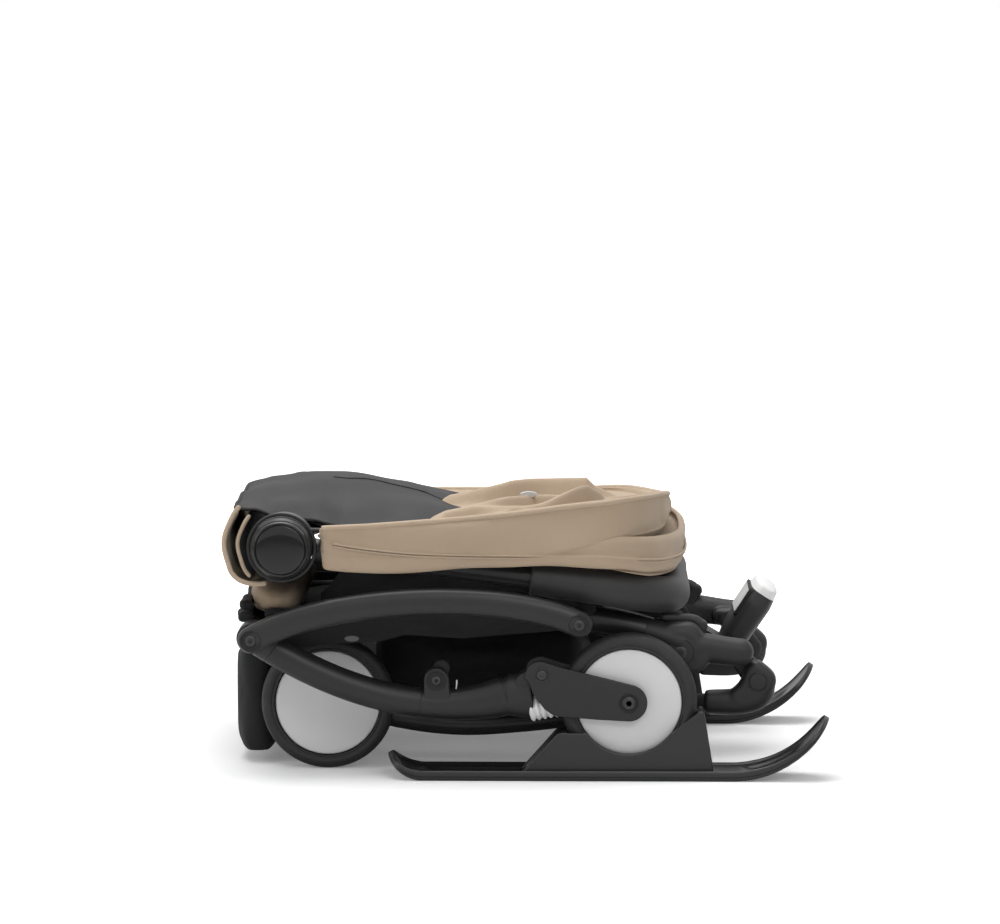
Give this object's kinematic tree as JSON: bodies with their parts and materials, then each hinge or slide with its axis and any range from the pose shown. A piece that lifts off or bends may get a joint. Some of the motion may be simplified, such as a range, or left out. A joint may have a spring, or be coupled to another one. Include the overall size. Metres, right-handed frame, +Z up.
{
  "type": "folded compact stroller",
  "caption": "Compact travel stroller folded flat on snow skis: arched side rails, curved legs, disc wheels, foam handle, and a beige canopy folded on top.",
  "frame": {"origin": "on the ground, in the middle of the folded stroller's length and width", "axes": "-X the stroller's front, +X its rear, -Y its left, +Z up"},
  "size_m": [0.5868, 0.442, 0.2701],
  "materials": {
    "painted_tube": "satin black powder coat with a fine grain",
    "moulding": "black glass-filled plastic, lightly sparked",
    "steel_dark": "blackened steel",
    "tyre": "matt black solid tyre",
    "wheel_disc": "pale grey plastic disc",
    "buffer": "white ribbed elastomer",
    "ski": "black plastic with a soft sheen",
    "foam": "dark grey closed-cell foam",
    "gloss_cap": "polished black, left bare",
    "beige_cloth": "beige woven cloth with piped seams",
    "black_cloth": "black woven cloth"
  },
  "bodies": {
    "seat_frame": {"side_rail_left": "painted_tube", "side_rail_right": "painted_tube", "rear_arm_left": "painted_tube", "rear_arm_right": "painted_tube", "front_cross_tube": "painted_tube", "rear_cross_tube": "painted_tube", "seat_bar_left": "painted_tube", "seat_bar_right": "painted_tube", "seat_sling": "black_cloth", "seat_front_roll": "beige_cloth", "basket": "black_cloth", "calf_rest": "black_cloth", "release_bracket": "moulding"},
    "release": {"release_grip": "moulding"},
    "rear_legs": {"rear_leg_left": "painted_tube", "rear_leg_right": "painted_tube", "rear_axle_bar": "painted_tube"},
    "brake": {"brake_pedal": "moulding"},
    "back_frame": {"back_arm_left": "painted_tube", "back_arm_right": "painted_tube", "back_cross_bar": "painted_tube", "backrest_pad": "black_cloth"},
    "handle": {"handlebar": "painted_tube", "handle_grip": "foam", "hub_barrel_left": "moulding", "hub_barrel_right": "moulding", "hub_cap_left": "gloss_cap", "hub_cap_right": "gloss_cap", "canopy_roll": "beige_cloth"},
    "canopy": {"canopy_bow_left": "steel_dark", "canopy_bow_right": "steel_dark", "canopy_lower": "beige_cloth", "canopy_hood": "beige_cloth", "canopy_folds": "beige_cloth", "canopy_panel": "black_cloth"},
    "front_leg_left": {"front_leg_left": "painted_tube", "caster_socket_left": "moulding", "suspension_spring_left": "buffer"},
    "lock_left": {"fold_lock_left": "moulding"},
    "suspension_left": {"suspension_arm_left": "moulding", "suspension_pin_left": "steel_dark", "front_axle_left": "steel_dark"},
    "ski_wheel_left": {"front_tyre_left": "tyre", "front_wheel_disc_left": "wheel_disc", "ski_left": "ski"},
    "rear_wheel_left": {"rear_tyre_left": "tyre", "rear_wheel_disc_left": "wheel_disc"},
    "front_leg_right": {"front_leg_right": "painted_tube", "caster_socket_right": "moulding", "suspension_spring_right": "buffer"},
    "lock_right": {"fold_lock_right": "moulding"},
    "suspension_right": {"suspension_arm_right": "moulding", "suspension_pin_right": "steel_dark", "front_axle_right": "steel_dark"},
    "ski_wheel_right": {"front_tyre_right": "tyre", "front_wheel_disc_right": "wheel_disc", "ski_right": "ski"},
    "rear_wheel_right": {"rear_tyre_right": "tyre", "rear_wheel_disc_right": "wheel_disc"}
  },
  "joints": [
    {"name": "fold", "type": "hinge", "parent": "seat_frame", "child": "back_frame", "pos_m": [0.15, 0, 0.118], "axis": [0, 1, 0], "range_deg": [0, 110]},
    {"name": "handle_fold", "type": "hinge", "parent": "back_frame", "child": "handle", "pos_m": [-0.235, 0, 0.224], "axis": [0, 1, 0], "range_deg": [-171.6, 0]},
    {"name": "rear_leg_fold", "type": "hinge", "parent": "seat_frame", "child": "rear_legs", "pos_m": [0.226, 0, 0.085], "axis": [0, 1, 0], "range_deg": [-115.5, 0]},
    {"name": "canopy_open", "type": "hinge", "parent": "handle", "child": "canopy", "pos_m": [-0.235, 0, 0.224], "axis": [0, 1, 0], "range_deg": [-100, 0], "deforming": ["canopy_panel", "canopy_roll"]},
    {"name": "brake_press", "type": "hinge", "parent": "rear_legs", "child": "brake", "pos_m": [-0.194, 0, 0.065], "axis": [0, 1, 0], "range_deg": [-18, 0], "stiffness_Nm_per_rad": 0.6, "springref_deg": 11.46},
    {"name": "release_pull", "type": "slide", "parent": "seat_frame", "child": "release", "axis": [0.5446, 0, 0.8387], "range_m": [0, 0.006], "stiffness_N_per_m": 900, "springref_m": -0.004},
    {"name": "front_leg_fold_left", "type": "hinge", "parent": "seat_frame", "child": "front_leg_left", "pos_m": [-0.264, -0.187, 0.136], "axis": [0, 1, 0], "range_deg": [0, 96]},
    {"name": "fold_lock_left_turn", "type": "hinge", "parent": "front_leg_left", "child": "lock_left", "pos_m": [-0.086, -0.187, 0.0955], "axis": [0, 1, 0], "range_deg": [0, 25], "stiffness_Nm_per_rad": 0.1, "springref_deg": -17.19},
    {"name": "suspension_left_travel", "type": "hinge", "parent": "front_leg_left", "child": "suspension_left", "pos_m": [0.016, -0.187, 0.102], "axis": [0, 1, 0], "range_deg": [-7, 0], "stiffness_Nm_per_rad": 60, "springref_deg": 1.15, "deforming": ["suspension_spring_left"]},
    {"name": "ski_left_rock", "type": "hinge", "parent": "suspension_left", "child": "ski_wheel_left", "pos_m": [0.1, -0.187, 0.0747], "axis": [0, 1, 0], "range_deg": [-6, 5]},
    {"name": "rear_wheel_left_spin", "type": "hinge", "parent": "rear_legs", "child": "rear_wheel_left", "pos_m": [-0.194, -0.13, 0.065], "axis": [0, 1, 0], "continuous": true},
    {"name": "front_leg_fold_right", "type": "hinge", "parent": "seat_frame", "child": "front_leg_right", "pos_m": [-0.264, 0.187, 0.136], "axis": [0, 1, 0], "range_deg": [0, 96]},
    {"name": "fold_lock_right_turn", "type": "hinge", "parent": "front_leg_right", "child": "lock_right", "pos_m": [-0.086, 0.187, 0.0955], "axis": [0, 1, 0], "range_deg": [0, 25], "stiffness_Nm_per_rad": 0.1, "springref_deg": -17.19},
    {"name": "suspension_right_travel", "type": "hinge", "parent": "front_leg_right", "child": "suspension_right", "pos_m": [0.016, 0.187, 0.102], "axis": [0, 1, 0], "range_deg": [-7, 0], "stiffness_Nm_per_rad": 60, "springref_deg": 1.15, "deforming": ["suspension_spring_right"]},
    {"name": "ski_right_rock", "type": "hinge", "parent": "suspension_right", "child": "ski_wheel_right", "pos_m": [0.1, 0.187, 0.0747], "axis": [0, 1, 0], "range_deg": [-6, 5]},
    {"name": "rear_wheel_right_spin", "type": "hinge", "parent": "rear_legs", "child": "rear_wheel_right", "pos_m": [-0.194, 0.13, 0.065], "axis": [0, 1, 0], "continuous": true}
  ],
  "couplings": [
    {"joint": "handle_fold", "follows": "fold", "ratio": -1.55},
    {"joint": "rear_leg_fold", "follows": "fold", "ratio": -1.04},
    {"joint": "front_leg_fold_left", "follows": "fold", "ratio": 0.87},
    {"joint": "front_leg_fold_right", "follows": "fold", "ratio": 0.87}
  ]
}
